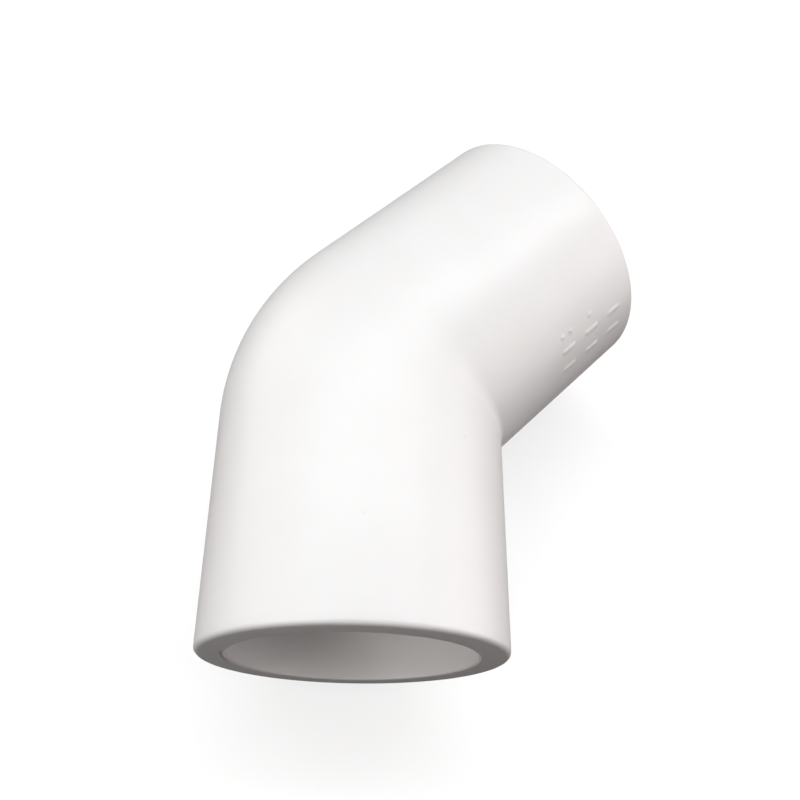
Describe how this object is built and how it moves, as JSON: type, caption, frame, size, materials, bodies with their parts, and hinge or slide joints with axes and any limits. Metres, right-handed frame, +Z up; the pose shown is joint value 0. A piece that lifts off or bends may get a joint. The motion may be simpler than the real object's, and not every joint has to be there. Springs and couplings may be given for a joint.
{
  "type": "pvc conduit elbow",
  "caption": "Short 45 degree elbow in white rigid PVC with a plain tapered solvent-weld socket at each end, for joining two lengths of round electrical conduit.",
  "frame": {"origin": "on the surface the elbow lies on, below the middle of its bounding box", "axes": "+Z up, square to the plane of the bend; -Y out of socket A's mouth; socket B opens halfway between +X and +Y"},
  "size_m": [0.0388, 0.0506, 0.0254],
  "materials": {
    "white_pvc": "smooth moulded, semi-gloss"
  },
  "bodies": {
    "root": {"elbow_body": "white_pvc"}
  },
  "joints": []
}
